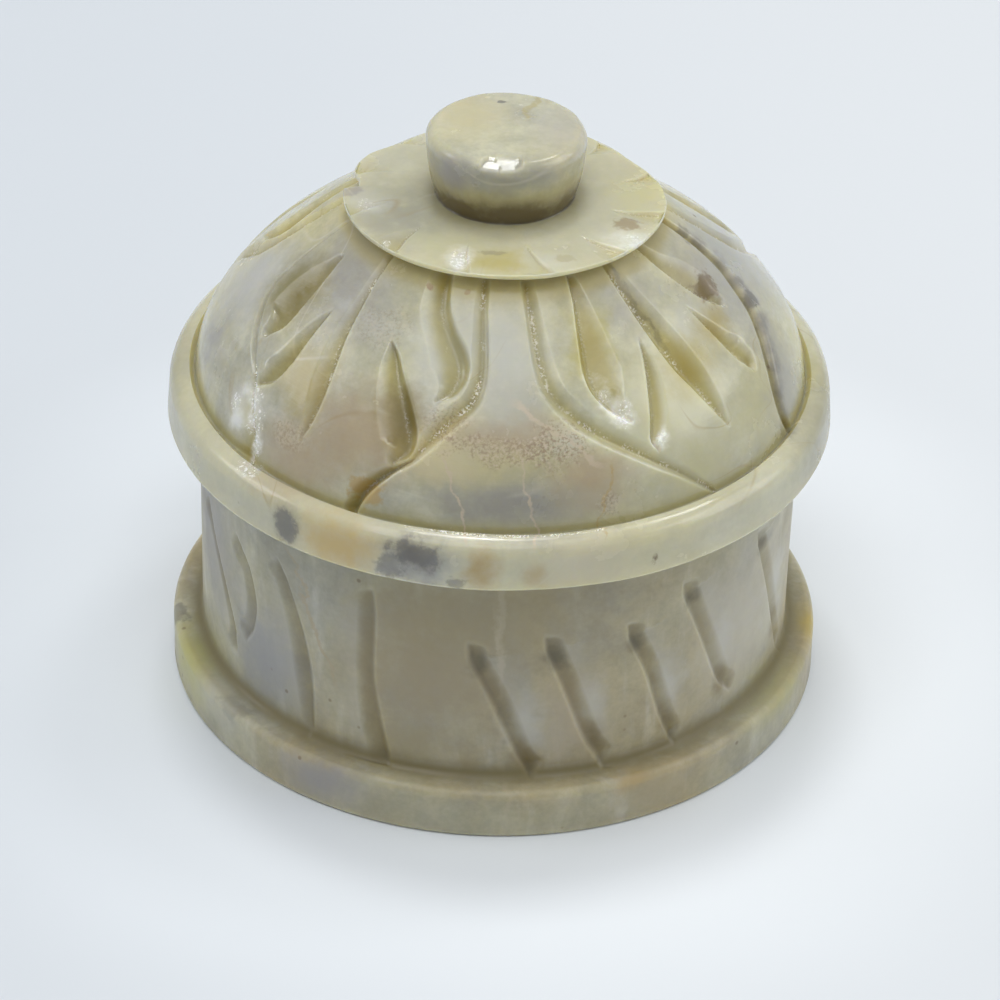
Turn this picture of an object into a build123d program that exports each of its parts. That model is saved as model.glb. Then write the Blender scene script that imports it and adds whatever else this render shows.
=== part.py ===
"""A carved stone trinket box: a turned box body with a foot ring, and a domed lid with a collar and a knob.

Units are millimetres. The origin is the middle of the flat underside, +Z is up, and -Y is the front.
Angles are in degrees about Z, measured from the front, and grow towards +X.
"""

import os
from math import atan2, degrees, sqrt

from build123d import *

# Box body
body_radius = 29.9
body_height = 29.0
foot_projection = 3.0
foot_height = 5.2
foot_edge_round = 0.9
foot_cove = 1.2
base_edge_round = 0.4
wall_thickness = 5.3
floor_thickness = 6.0
floor_corner_round = 4.0
mouth_edge_round = 0.4

# Lid rim and the spigot that drops into the mouth of the body
rim_overhang = 3.1
rim_height = 5.1
rim_taper = 0.4
rim_edge_round = 2.0
rim_under_round = 0.4
gutter_width = 2.4
gutter_depth = 0.5
gutter_lip = 0.5
spigot_clearance = 0.4
spigot_depth = 2.6
spigot_wall = 3.4
spigot_edge_round = 0.5
hollow_height = 13.0
hollow_corner_round = 8.0

# Dome, from its foot in the gutter to the collar
shoulder_inset = 2.8
shoulder_rise = 7.0
waist_radius = 19.2
waist_rise = 14.5
crown_radius = 13.9
crown_rise = 18.2
foot_slope = (-0.06, 1.0)
crown_slope = (-1.0, 0.66)

# Collar and knob
collar_radius = 15.65
collar_thickness = 1.1
collar_edge = 0.5
collar_edge_round = 0.15
collar_crown = 0.35
neck_radius = 6.7
knob_radius = 7.9
knob_height = 6.85
knob_band = 2.9
knob_taper = 0.3
knob_edge_round = 1.2

# Slanting flutes on the body: each has its angle at mid height and its top's height above the base
flute_groups = 4
flutes = ((2.5, 19.8), (16.5, 20.2), (32.0, 20.2), (46.0, 22.6), (63.0, 23.0))
flute_lean = 19.0
flute_foot_gap = 2.3
flute_width = 2.3
flute_depth = 0.9

# Palmettes on the dome, each between two border grooves, with a plain flared panel beside it.
# A spot on the dome is its angle from the palmette's middle and its share of the way up the dome.
palmette_count = 4
palmette_turn = 50.0
border_route = ((37.0, 0.93), (37.0, 0.75), (34.0, 0.57), (25.5, 0.38), (17.5, 0.21), (12.0, 0.03))
border_width = 2.0
border_depth = 0.8
leaf_depth = 1.1
leaf_blunt_share = 0.3
middle_leaf = ((-7.0, 0.94), (0.0, 0.20))
middle_leaf_width = 3.0
inner_leaf = ((10.5, 0.67), (18.0, 0.29))
inner_leaf_width = 3.2
outer_leaf = ((18.0, 0.94), (27.5, 0.56))
outer_leaf_width = 3.4

# Petals scooped in the top of the collar
petal_count = 12
petal_turn = 13.0
petal_length = 3.9
petal_width = 3.4
petal_depth = 0.3
petal_land = 0.4
petal_heel = 0.5

# Sizes that follow
foot_radius = body_radius + foot_projection
bore_radius = body_radius - wall_thickness
rim_radius = body_radius + rim_overhang
rim_top_radius = rim_radius - rim_taper
spigot_radius = bore_radius - spigot_clearance
hollow_radius = spigot_radius - spigot_wall
dome_radius = rim_top_radius - gutter_width

# Heights above the base
seat_level = body_height
spigot_level = seat_level - spigot_depth
rim_top_level = seat_level + rim_height
dome_foot_level = rim_top_level - gutter_depth
collar_level = dome_foot_level + crown_rise
collar_top_level = collar_level + collar_thickness
neck_level = collar_top_level + collar_crown
knob_top_level = neck_level + knob_height


def belly_radius(width, depth):
    """The radius of a round gouge that leaves a cut of this width and depth."""
    return (width**2 / 4 + depth**2) / (2 * depth)


def gouge(length, width, depth, blunt_share, bulge=0.0):
    """A round teardrop about X, pointed towards -X, that leaves a boat-shaped cut.

    Its widest place is at the origin. It is long enough to leave a cut of the given length in a face
    that stands higher there, by the bulge, than at the cut's ends.
    """
    belly = belly_radius(width, depth)
    reach = sqrt(max(depth - bulge, depth / 4) / belly)
    point = length * (1 - blunt_share) / reach
    heel = max(length * blunt_share / reach, belly)
    with BuildPart() as cutter:
        with BuildSketch():
            with BuildLine():
                TangentArc((0, belly), (-point, 0), tangent=(-1, 0))
                TangentArc((0, belly), (heel, 0), tangent=(1, 0))
                Line((-point, 0), (heel, 0))
            make_face()
        revolve(axis=Axis.X)
    return cutter.part


def chip(outline, depth, run):
    """A block that leaves a chip cut: steep at the outline's right edge, where it has its full depth.

    That edge lies at the origin, and the cut's floor rises to the surface over the run, towards -X.
    """
    with BuildPart() as cutter:
        add(outline)
        extrude(amount=3 * depth)
    return Location((0, 0, -depth), (0, degrees(atan2(depth, run)), 0)) * cutter.part


def dome_spot(angle, share):
    """A point on the dome and the outward direction there."""
    turn = angle - 90
    along = (dome_curve % share).rotate(Axis.Z, turn)
    around = Vector(0, 1, 0).rotate(Axis.Z, turn)
    return (dome_curve @ share).rotate(Axis.Z, turn), around.cross(along)


def leaf_cutter(top, bottom, width):
    """A gouge that runs down the dome from one spot to another, pointed at its top."""
    widest = 1 - leaf_blunt_share
    start, _ = dome_spot(*top)
    end, _ = dome_spot(*bottom)
    spot, out = dome_spot(*(high + (low - high) * widest for high, low in zip(top, bottom)))
    run = end - start
    way = run.normalized()
    square = (out - way * out.dot(way)).normalized()
    bulge = (spot - start).dot(square)
    lift = belly_radius(width, leaf_depth) - leaf_depth
    cutter = gouge(run.length, width, leaf_depth, leaf_blunt_share, bulge)
    return Plane(origin=spot + square * lift, x_dir=way, z_dir=square).location * cutter


def border_cutter(side):
    """A round groove that follows one border of the palmette, down the dome."""
    bar_radius = belly_radius(border_width, border_depth)
    spots = [dome_spot(side * angle, share) for angle, share in border_route]
    with BuildPart() as cutter:
        with BuildLine() as route:
            Spline(*[spot + out * (bar_radius - border_depth) for spot, out in spots])
        with BuildSketch(route.line ^ 0):
            Circle(bar_radius)
        sweep()
    return cutter.part


def corner_at(section, across, up):
    """The corner of a section that lies nearest to a radius and a height."""
    return section.vertices().sort_by_distance((across, up, 0))[0]


# The dome's outline from foot to crown, which the carving also follows
dome_points = (
    (dome_radius, dome_foot_level),
    (dome_radius - shoulder_inset, dome_foot_level + shoulder_rise),
    (waist_radius, dome_foot_level + waist_rise),
    (crown_radius, collar_level),
)
with BuildLine(Plane.XZ) as dome_outline:
    Spline(*dome_points, tangents=(foot_slope, crown_slope))
dome_curve = dome_outline.line


# Box body: a turned cup on a foot ring
with BuildPart() as box_body:
    with BuildSketch(Plane.XZ) as body_section:
        with BuildLine():
            Polyline(
                (0, 0),
                (foot_radius, 0),
                (foot_radius, foot_height),
                (body_radius, foot_height),
                (body_radius, body_height),
                (bore_radius, body_height),
                (bore_radius, floor_thickness),
                (0, floor_thickness),
                close=True,
            )
        make_face()
        fillet(corner_at(body_section, foot_radius, 0), base_edge_round)
        fillet(corner_at(body_section, foot_radius, foot_height), foot_edge_round)
        fillet(corner_at(body_section, body_radius, foot_height), foot_cove)
        fillet(corner_at(body_section, bore_radius, body_height), mouth_edge_round)
        fillet(corner_at(body_section, bore_radius, floor_thickness), floor_corner_round)
    revolve(axis=Axis.Z)

    # Slanting flutes, chip cut round the wall in groups, with their steep side on the left
    flute_foot_level = foot_height + flute_foot_gap
    for flute_angle, flute_top_level in flutes:
        with BuildSketch() as flute_outline:
            with Locations((-flute_width / 2, 0)):
                SlotOverall(flute_top_level - flute_foot_level, flute_width, rotation=90)
        flute_cutter = chip(flute_outline.sketch, flute_depth, flute_width)
        flute_middle = (flute_top_level + flute_foot_level) / 2
        with Locations((0, 0, flute_middle)):
            with PolarLocations(body_radius, flute_groups, start_angle=flute_angle - 90):
                with Locations(Plane(origin=(0, 0, 0), x_dir=(0, -1, 0), z_dir=(1, 0, 0)).location):
                    with Locations(Rotation(0, 0, flute_lean)):
                        add(flute_cutter, mode=Mode.SUBTRACT)
box_body.part.label = "box_body"


# Lid: the carved dome first, then the rim and spigot below it and the collar and knob on top
with BuildPart() as lid:
    with BuildSketch(Plane.XZ):
        with BuildLine():
            dome_side = Spline(*dome_points, tangents=(foot_slope, crown_slope))
            Polyline(dome_side @ 1, (0, collar_level), (0, dome_foot_level), dome_side @ 0)
        make_face()
    revolve(axis=Axis.Z)

    # Palmettes
    palmette_cutters = [border_cutter(-1), border_cutter(1), leaf_cutter(*middle_leaf, middle_leaf_width)]
    for leaf, leaf_width in ((inner_leaf, inner_leaf_width), (outer_leaf, outer_leaf_width)):
        for side in (-1, 1):
            spots = [(side * angle, share) for angle, share in leaf]
            palmette_cutters.append(leaf_cutter(*spots, leaf_width))
    with PolarLocations(0, palmette_count, start_angle=palmette_turn):
        add(palmette_cutters, mode=Mode.SUBTRACT)

    # Rim, seat and spigot
    with BuildSketch(Plane.XZ) as rim_section:
        with BuildLine():
            Polyline(
                (0, spigot_level),
                (spigot_radius, spigot_level),
                (spigot_radius, seat_level),
                (rim_radius, seat_level),
                (rim_top_radius, rim_top_level),
                (dome_radius + gutter_lip, rim_top_level),
                (dome_radius, dome_foot_level),
                (0, dome_foot_level),
                close=True,
            )
        make_face()
        fillet(corner_at(rim_section, spigot_radius, spigot_level), spigot_edge_round)
        fillet(corner_at(rim_section, rim_radius, seat_level), rim_under_round)
        fillet(corner_at(rim_section, rim_top_radius, rim_top_level), rim_edge_round)
    revolve(axis=Axis.Z)

    # Collar
    with BuildSketch(Plane.XZ) as collar_section:
        with BuildLine():
            Polyline(
                (0, collar_level),
                (crown_radius, collar_level),
                (collar_radius, collar_top_level - collar_edge),
                (collar_radius, collar_top_level),
                (neck_radius, neck_level),
                (0, neck_level),
                close=True,
            )
        make_face()
        fillet(corner_at(collar_section, collar_radius, collar_top_level - collar_edge), collar_edge_round)
        fillet(corner_at(collar_section, collar_radius, collar_top_level), collar_edge_round)
    revolve(axis=Axis.Z)
    # Knob, which swells from its neck to a straight band that leans out a little
    with BuildSketch(Plane.XZ) as knob_section:
        with BuildLine():
            knob_side = TangentArc(
                (knob_radius - knob_taper, knob_top_level - knob_band),
                (neck_radius, neck_level),
                tangent=(-knob_taper, -knob_band),
            )
            Polyline(
                knob_side @ 1,
                (neck_radius, collar_level),
                (0, collar_level),
                (0, knob_top_level),
                (knob_radius, knob_top_level),
                knob_side @ 0,
            )
        make_face()
        fillet(corner_at(knob_section, knob_radius, knob_top_level), knob_edge_round)
    revolve(axis=Axis.Z)

    # Hollow under the dome
    with BuildSketch(Plane.XZ) as hollow_section:
        with BuildLine():
            Polyline(
                (0, spigot_level),
                (hollow_radius, spigot_level),
                (hollow_radius, seat_level + hollow_height),
                (0, seat_level + hollow_height),
                close=True,
            )
        make_face()
        fillet(corner_at(hollow_section, hollow_radius, seat_level + hollow_height), hollow_corner_round)
    revolve(axis=Axis.Z, mode=Mode.SUBTRACT)

    # Petals, chip cut in the collar's top: each is deepest at its wide end near the collar's edge
    with BuildSketch() as petal_outline:
        with BuildLine():
            Polyline((0, petal_width / 2), (-petal_length, 0), (0, -petal_width / 2))
            ThreePointArc((0, -petal_width / 2), (petal_heel, 0), (0, petal_width / 2))
        make_face()
    petal_cutter = chip(petal_outline.sketch, petal_depth, petal_length)
    petal_wide_radius = collar_radius - petal_land - petal_heel
    with Locations((0, 0, collar_top_level)):
        with PolarLocations(petal_wide_radius, petal_count, start_angle=petal_turn - 90):
            add(petal_cutter, mode=Mode.SUBTRACT)
lid.part.label = "lid"


os.makedirs("parts", exist_ok=True)
for piece in (box_body.part, lid.part):
    export_step(piece, f"parts/{piece.label}.step")
    print(piece.label, "volume", round(piece.volume), "solids", len(piece.solids()), "valid", piece.is_valid)
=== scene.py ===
"""A carved stone trinket box: its looks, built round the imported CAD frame.

Sizes are millimetres until a mesh, lamp or camera is made. Angles are degrees about the turning axis, from
the front, and grow towards +X. A place on the dome is its angle and its distance up the dome from the foot.
"""

from math import cos, pi, radians, sin

import bpy
import numpy as np
from mathutils import Matrix, Vector


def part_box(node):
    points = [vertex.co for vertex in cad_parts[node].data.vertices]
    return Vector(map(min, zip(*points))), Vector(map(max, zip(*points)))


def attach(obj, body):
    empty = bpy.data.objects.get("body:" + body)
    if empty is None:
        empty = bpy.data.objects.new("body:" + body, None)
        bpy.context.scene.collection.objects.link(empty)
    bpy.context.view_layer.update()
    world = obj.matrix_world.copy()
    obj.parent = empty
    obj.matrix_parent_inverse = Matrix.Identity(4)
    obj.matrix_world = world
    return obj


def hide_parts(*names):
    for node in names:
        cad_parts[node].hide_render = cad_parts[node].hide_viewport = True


MM = 0.001
COLUMNS = 1080  # mesh points round the axis
ANGLES = np.arange(COLUMNS) * 360 / COLUMNS

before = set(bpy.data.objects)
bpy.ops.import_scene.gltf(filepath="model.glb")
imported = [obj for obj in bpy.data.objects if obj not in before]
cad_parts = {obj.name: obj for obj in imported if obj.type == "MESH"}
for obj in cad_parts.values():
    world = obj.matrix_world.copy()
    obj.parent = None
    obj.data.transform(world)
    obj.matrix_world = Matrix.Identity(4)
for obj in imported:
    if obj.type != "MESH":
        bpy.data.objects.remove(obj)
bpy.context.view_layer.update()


# Sizes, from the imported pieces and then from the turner's own section

def top_of(node):
    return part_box(node)[1].z / MM


def radius_of(node):
    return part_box(node)[1].x / MM


# box body
foot_radius = radius_of("box_body")
wall_radius = foot_radius - 3.0
foot_height = 5.2
foot_cove = 1.2
foot_rounding = 0.9
base_rounding = 0.4
mouth_level = top_of("box_body")
mouth_rounding = 0.4
bore_radius = wall_radius - 5.3
floor_level = 6.0
floor_corner = 4.0

# lid: rim with its gutter, spigot and hollow
seat_level = mouth_level
rim_radius = radius_of("lid")
rim_top_radius = rim_radius - 0.4
rim_top_level = seat_level + 5.1
rim_rounding = 2.0
rim_under_rounding = 0.4
gutter_depth = 0.5
gutter_lip = 0.5
gutter_rounding = 0.1
spigot_radius = bore_radius - 0.4
spigot_level = seat_level - 2.6
spigot_rounding = 0.5
hollow_radius = spigot_radius - 3.4
hollow_level = seat_level + 13.0
hollow_edge = 0.3
hollow_corner = 8.0

# lid: dome, through a shoulder and a waist, collar and knob
dome_radius = rim_top_radius - 2.4
dome_foot_level = rim_top_level - gutter_depth
shoulder_inset = 2.8
shoulder_rise = 7.0
waist_radius = 19.2
waist_rise = 14.5
crown_radius = 13.9
crown_rise = 18.2
dome_foot_slope = (-0.06, 1.0)
crown_slope = (-1.0, 0.66)
dome_length = 25.55
collar_level = dome_foot_level + crown_rise
collar_radius = 15.65
collar_thickness = 1.1
collar_edge = 0.5
collar_rounding = 0.15
collar_top_level = collar_level + collar_thickness
neck_radius = 6.7
neck_level = collar_top_level + 0.35
knob_radius = 7.9
knob_top_level = top_of("lid")
knob_band = 2.9
knob_taper = 0.3
knob_rounding = 1.2


def add_object(name, data):
    """A new object, put into the scene."""
    made = bpy.data.objects.new(name, data)
    bpy.context.scene.collection.objects.link(made)
    return made


# Camera at the photograph's angle

def set_camera():
    """The photograph's camera: a long lens that looks down on the box and is rolled a little."""
    pitch, roll = radians(33.98), radians(1.556)
    distance, aim_right, aim_up = 398.2, -0.056, 9.781
    level_right = Vector((1, 0, 0))
    level_up = Vector((0, sin(pitch), cos(pitch)))
    forward = Vector((0, cos(pitch), -sin(pitch)))
    right = level_right * cos(roll) + level_up * sin(roll)
    up = level_up * cos(roll) - level_right * sin(roll)
    place = Vector((0, 0, seat_level)) - right * aim_right - up * aim_up - forward * distance
    camera = add_object("camera", bpy.data.cameras.new("camera"))
    camera.data.lens = 144
    camera.data.sensor_width = 36
    camera.data.clip_start = 0.01
    turn = Matrix((right, up, -forward)).transposed().to_4x4()
    camera.matrix_world = Matrix.Translation(place * MM) @ turn
    bpy.context.scene.camera = camera


# Lines of the turned section

def rounded_line(corners, steps=6):
    """A line through corners of (radius, height, rounding), with an arc at each rounded corner."""
    points = []
    for index, (across, up, rounding) in enumerate(corners):
        here = np.array((across, up))
        if not rounding:
            points.append(here)
            continue
        back = np.array(corners[index - 1][:2]) - here
        ahead = np.array(corners[index + 1][:2]) - here
        back, ahead = back / np.linalg.norm(back), ahead / np.linalg.norm(ahead)
        half = np.arccos(np.clip(back @ ahead, -1, 1)) / 2
        middle = (back + ahead) / np.linalg.norm(back + ahead)
        centre = here + middle * rounding / np.sin(half)
        start = here + back * rounding / np.tan(half) - centre
        end = here + ahead * rounding / np.tan(half) - centre
        for share in np.linspace(0, 1, steps):
            spoke = start * (1 - share) + end * share
            points.append(centre + spoke * rounding / np.linalg.norm(spoke))
    return np.array(points)


def smooth_line(points, start_slope, end_slope, steps=60):
    """A smooth line through points, which leaves and arrives along the given slopes."""
    points = np.array(points, float)
    knots = np.concatenate(([0], np.cumsum(np.linalg.norm(np.diff(points, axis=0), axis=1))))
    gaps = np.diff(knots)[:, None]
    rises = np.diff(points, axis=0) / gaps
    count = len(points)
    system = np.zeros((count, count))
    target = np.zeros((count, 2))
    system[0, 0] = system[-1, -1] = 1
    target[0] = np.array(start_slope) / np.linalg.norm(start_slope)
    target[-1] = np.array(end_slope) / np.linalg.norm(end_slope)
    for k in range(1, count - 1):
        before, after = gaps[k - 1, 0], gaps[k, 0]
        system[k, k - 1 : k + 2] = after, 2 * (before + after), before
        target[k] = 3 * (after * rises[k - 1] + before * rises[k])
    slopes = np.linalg.solve(system, target)
    line = []
    for k in range(count - 1):
        for t in np.linspace(0, 1, steps, endpoint=k == count - 2):
            line.append(
                (2 * t**3 - 3 * t**2 + 1) * points[k]
                + (t**3 - 2 * t**2 + t) * gaps[k] * slopes[k]
                + (3 * t**2 - 2 * t**3) * points[k + 1]
                + (t**3 - t**2) * gaps[k] * slopes[k + 1]
            )
    return np.array(line)


def travelled(line):
    """The distance along a line, at each of its points."""
    return np.concatenate(([0], np.cumsum(np.linalg.norm(np.diff(line, axis=0), axis=1))))


def filled(line, spacing):
    """The line with points added where they lie further apart than the spacing."""
    points = [line[0]]
    for start, end in zip(line[:-1], line[1:]):
        count = max(1, int(np.ceil(np.linalg.norm(end - start) / spacing)))
        points.extend(start + (end - start) * share for share in np.linspace(0, 1, count + 1)[1:])
    return np.array(points)


def even(line, spacing):
    """The line with points at an even spacing."""
    reach = travelled(line)
    steps = np.linspace(0, reach[-1], int(reach[-1] / spacing) + 1)
    return np.column_stack([np.interp(steps, reach, line[:, axis]) for axis in (0, 1)])


dome_points = (
    (dome_radius, dome_foot_level),
    (dome_radius - shoulder_inset, dome_foot_level + shoulder_rise),
    (waist_radius, dome_foot_level + waist_rise),
    (crown_radius, collar_level),
)
dome_line = even(smooth_line(dome_points, dome_foot_slope, crown_slope), spacing=0.2)[::-1]
dome_climb = dome_length - travelled(dome_line)


# Places on the stone, for cuts and stains

def spot(angle, across, up):
    """The point at an angle, a radius and a height."""
    return Vector((across * sin(radians(angle)), -across * cos(radians(angle)), up))


def on_dome(angle, climb):
    across = np.interp(climb, dome_climb[::-1], dome_line[::-1, 0])
    up = np.interp(climb, dome_climb[::-1], dome_line[::-1, 1])
    return spot(angle, across, up)


def on_rim(angle, up):
    return spot(angle, rim_radius, seat_level + up)


def on_collar(angle, across):
    return spot(angle, across, collar_top_level)


def on_knob(angle, up):
    return spot(angle, knob_radius, neck_level + up)


def on_knob_top(angle, across):
    return spot(angle, across, knob_top_level)


def on_wall(angle, up):
    return spot(angle, wall_radius, foot_height + up)


def on_foot(angle, up):
    return spot(angle, foot_radius, up)


def placed(where, *rows):
    """The rows with a place on the stone instead of the two numbers that they start with."""
    return [(where(angle, along), *rest) for angle, along, *rest in rows]


# Hand-cut carving. A cut follows its crisp line from top to bottom: angle, place along, width of the cut.
# Its soft slope lies on one side of that line, -1 for the left and +1 for the right. A border's line is its
# rim, from which a steep wall goes down. A leaf's line is its valley, with the steep wall beyond it.

def cut(side, depth, steep, *edge, hollow=1.1, crushed=0.2, beyond=0.0):
    return {"side": side, "depth": depth, "steep": steep, "hollow": hollow, "crushed": crushed, "beyond": beyond,
            "edge": np.array(edge, float)}


def leaf(side, depth, wall, *edge, crushed=0.15):
    """A leaf-shaped scoop, with its wall beyond the valley, as wide as the given share of its slope."""
    share = wall / (1 + wall)
    wider = [(angle, up, width * (1 + wall)) for angle, up, width in edge]
    return cut(side, depth, share, *wider, crushed=crushed, beyond=share)


def flute(side, *edge):
    """A round channel in the wall, and the shallow scallop that runs out from it to one side."""
    channel_edge = [(angle, up, max(width, 2.1)) for angle, up, width in edge]
    scallop_edge = [(angle, up, 2.6 * width) for angle, up, width in edge]
    channel = cut(side, 0.5, 0.32, *channel_edge, hollow=0.4, crushed=0)
    scallop = cut(side, 0.35, 0.2, *scallop_edge, crushed=0)
    return channel, scallop


left_palmette = (
    # border beside the front panel, and its deep brown notch lower down
    cut(-1, 0.6, 0.42, (-4.2, 24.8, 1.4), (-3.8, 22, 1.7), (-2.8, 19, 2.0), (-2.3, 16, 2.2), (-3, 13.5, 2.3),
        (-5, 11.8, 2.3), (-8.5, 10.2, 2.3), (-12, 8.3, 2.0), (-15.5, 6.4, 1.5), (-17.5, 5.6, 0.8), crushed=0.8),
    cut(-1, 1.15, 0.25, (-16, 6.6, 0.6), (-19.5, 5, 1.2), (-22.2, 3.5, 1.7), (-24.3, 1.9, 1.9), (-25.6, 0.3, 1.6)),
    # leaves, from the front panel round to the left
    leaf(-1, 0.9, 0.5, (-21.5, 24.8, 1.6), (-19.5, 21.8, 2.0), (-15.5, 19.3, 2.2), (-11.8, 17.3, 2.6),
        (-10.2, 15.6, 2.6), (-11, 13.8, 1.8), (-13.5, 12.6, 0.5)),
    leaf(-1, 1.15, 0.42, (-29.5, 17.2, 0.1), (-27.2, 16, 1.1), (-24.5, 14, 1.9), (-21, 11.3, 2.6), (-18.6, 9, 2.8),
        (-18.3, 7.4, 2.4), (-19.6, 6.4, 1.2)),
    leaf(-1, 0.75, 0.35, (-46.5, 24.8, 0.7), (-45.7, 22, 0.8), (-44.5, 19.5, 1.0), (-43, 16, 1.4), (-41, 12.5, 1.7),
        (-39.8, 9.5, 1.5), (-39.5, 7.5, 1.0), (-40, 5.2, 0.3), crushed=1.0),
    leaf(-1, 0.85, 0.25, (-50.8, 17.3, 0.2), (-51.5, 15, 1.2), (-52, 11, 2.1), (-53.5, 8.8, 2.4),
        (-55.5, 7.7, 1.2)),
    leaf(-1, 1.0, 0.25, (-64.2, 21.3, 1.0), (-63.4, 19, 2.6), (-62.5, 16.5, 3.4), (-61.8, 13.5, 3.4),
        (-62.8, 11.9, 1.6)),
    # border towards the left, which opens into a wide flat chip at the foot
    cut(1, 0.3, 0.45, (-79.5, 24.6, 0.3), (-78.8, 20, 0.4), (-77.5, 16.5, 0.6), (-75, 13.8, 0.8),
        (-71, 11.8, 1.1), (-67.5, 10.4, 1.2), (-63, 9, 1.0), (-59, 7.9, 0.5), crushed=0),
    cut(-1, 0.7, 0.12, (-68, 10.9, 0.2), (-60, 8.8, 0.5), (-57, 7.5, 1.6), (-54.6, 5.6, 2.8), (-51.5, 3.7, 3.8),
        (-50, 0.6, 4.6), crushed=1.4),
)

right_palmette = (
    # border beside the front panel
    cut(1, 0.6, 0.4, (6.5, 24.8, 1.4), (7, 22, 1.7), (7.4, 19, 2.0), (7.8, 16.5, 2.3), (9, 14, 2.5),
        (11.5, 12, 2.6), (16, 9.8, 2.6), (21, 8, 2.5), (26, 6.4, 2.3), (30.5, 4.9, 1.9), (35, 3.4, 1.5),
        (39.5, 1.6, 1.1), (42.5, 0.4, 0.6), crushed=0.5),
    # leaves, from the front panel round to the right
    cut(1, 1.2, 0.24, (24.5, 24.8, 1.0), (23.6, 22.5, 1.7), (22, 20, 2.6), (20.8, 17.5, 3.4), (20.1, 15.3, 4.0),
        (20.8, 13.3, 3.9), (23.5, 11.3, 3.0), (27.5, 9.8, 0.8), hollow=0.9),
    cut(1, 0.9, 0.34, (38.2, 17, 0.1), (36.8, 15.2, 0.9), (34.5, 12.5, 1.7), (32.3, 9.5, 1.9), (31, 7.6, 1.5),
        (31.8, 6.6, 0.7)),
    cut(1, 0.9, 0.3, (40.5, 24.8, 1.4), (40.5, 22, 2.0), (41, 18, 3.0), (42.5, 13.5, 3.6), (45, 10.5, 3.1),
        (47.5, 7.8, 1.9), (49.3, 6, 0.6), crushed=0.6),
    cut(1, 0.9, 0.3, (58.8, 17.4, 0.2), (58.9, 15.5, 1.1), (59.7, 13, 2.0), (60.7, 10.8, 3.0), (62.5, 9.3, 2.4)),
    cut(1, 1.0, 0.3, (60, 24.8, 1.2), (61, 22.3, 2.2), (63, 19.5, 3.5), (65.5, 17, 3.5), (69, 15.2, 1.8)),
    # border towards the right
    cut(-1, 0.85, 0.45, (90, 24.4, 1.4), (89.5, 21, 1.6), (88.5, 18.5, 1.8), (86.3, 16, 1.9), (83, 13.8, 2.0),
        (79.5, 11.3, 2.0), (75.5, 9.3, 1.9), (71.5, 7.2, 1.8), (68.8, 5, 1.7), (68, 3, 1.5), (69.5, 0.8, 1.2)),
)

right_flutes = (
    flute(1, (-4.9, 14.5, 1.2), (-4.5, 13.2, 2.2), (-1.9, 10.3, 2.3), (1.2, 6.5, 2.3), (4.4, 2.4, 2.0),
          (6, 0.9, 1.1)),
    flute(1, (9.3, 15.2, 1.3), (9.8, 14, 2.3), (12.8, 10, 2.2), (17, 4, 2.0), (19.8, 1.2, 1.4)),
    flute(1, (25.3, 15.2, 1.1), (25.8, 14, 2.1), (29.3, 10, 2.1), (32.8, 4.3, 2.0), (35, 1.4, 1.2)),
    flute(1, (37.1, 17.9, 1.2), (37.6, 16.8, 2.4), (42.4, 11, 2.3), (47.3, 5, 2.3), (50.5, 3, 1.1)),
    flute(1, (58.5, 18.4, 1.2), (59.1, 17.2, 2.4), (63.6, 11.5, 2.6), (67.8, 6, 2.5), (71.5, 1.8, 1.5)),
)

left_flutes = (
    flute(-1, (-22, 19, 1.0), (-21.6, 16.5, 2.4), (-21.8, 10, 2.4), (-20.2, 4.8, 2.9), (-18.8, 1.4, 2.6)),
    flute(-1, (-43, 18.3, 1.0), (-41, 16.6, 2.4), (-37.4, 12, 2.7), (-35.3, 7, 2.9), (-34.9, 1.8, 1.8)),
    flute(-1, (-56, 17.4, 0.6), (-52.5, 15.3, 1.7), (-50.4, 11.5, 2.5), (-51.6, 8.2, 1.7), (-53, 7, 0.8)),
    flute(-1, (-70, 17, 1.0), (-67.5, 14.8, 1.8), (-63, 11.3, 2.1), (-58.6, 7, 2.0), (-57.8, 4.6, 1.1)),
)

# The petals of the collar. A petal's place along is its distance from the axis
petal_count = 12
petal_turn = 13
petal = cut(-1, 0.4, 0.15, (6, 15.3, 2.6), (5.5, 14.7, 3.3), (3, 13.2, 2.2), (0, 11, 0.2), hollow=0.8)


# Flat worn places on the knob's edge: a spot over each, the way that it faces (turn and tilt) and its reach
knob_facets = (
    (spot(-11, 7.1, knob_top_level - 0.55), -5, 69.5, 1.2),
    (spot(2, 6.5, knob_top_level - 0.32), -5, 69.5, 1.5),
)


def cut_again(cuts, turn, seed):
    """The same cuts turned round the axis, each a little different, as a hand would cut them again."""
    hand = np.random.default_rng(seed)
    again = []
    for one in cuts:
        edge = one["edge"].copy()
        edge[:, 0] += turn + hand.normal(0, 0.7)
        edge[:, 1] += hand.normal(0, 0.25)
        edge[:, 2] *= hand.uniform(0.9, 1.1)
        again.append({**one, "edge": edge, "depth": one["depth"] * hand.uniform(0.85, 1.1)})
    return again


def run_of(edge, steps=6):
    """A smooth run of closely spaced points through the points of a cut's edge."""
    padded = np.vstack((2 * edge[0] - edge[1], edge, 2 * edge[-1] - edge[-2]))
    run = []
    for before, start, end, after in zip(padded, padded[1:], padded[2:], padded[3:]):
        for t in np.arange(steps) / steps:
            run.append(
                0.5 * (2 * start + (end - before) * t + (2 * before - 5 * start + 4 * end - after) * t**2
                       + (3 * start - before - 3 * end + after) * t**3)
            )
    run.append(edge[-1])
    return np.array(run)


def within_half_turn(angles):
    """The same angles, counted from -180 to 180."""
    return (angles + 180) % 360 - 180


def hill(away, reach):
    """One where nothing is away, and softly down to nothing past the reach."""
    return np.exp(-((away / reach) ** 2))


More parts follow.
